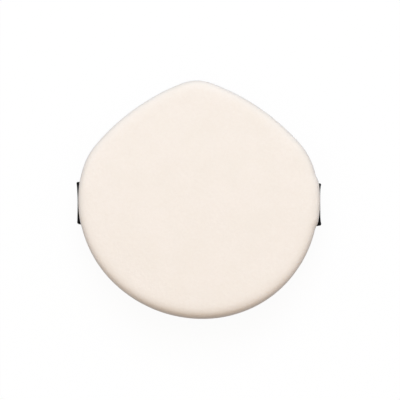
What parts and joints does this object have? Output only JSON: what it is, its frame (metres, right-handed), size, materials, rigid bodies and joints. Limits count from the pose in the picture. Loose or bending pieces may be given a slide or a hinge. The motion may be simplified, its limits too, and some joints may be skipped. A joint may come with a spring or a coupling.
{
  "type": "makeup puff",
  "caption": "Soft drop-shaped makeup puff: velvety domed pad on a foam core, flat back, and a ribbon finger strap held in the edge seam.",
  "frame": {"origin": "on the resting surface, under the middle of the puff's outline", "axes": "+Z out of the applicator face, +Y to the pointed tip, +X along the finger strap"},
  "size_m": [0.058, 0.0566, 0.015],
  "materials": {
    "velvet_face": "velvety foamed polyurethane, matt",
    "barrier_film": "thin polyurethane film",
    "foam": "open-cell sponge",
    "hot_melt": "pressed hot-melt adhesive",
    "back_fabric": "smooth fine knit with a coated face",
    "ribbon": "black satin-woven ribbon"
  },
  "bodies": {
    "root": {"face_skin": "velvet_face", "barrier_film": "barrier_film", "foam_core": "foam", "back_bond": "hot_melt", "back_cover": "back_fabric", "finger_strap": "ribbon"}
  },
  "joints": []
}
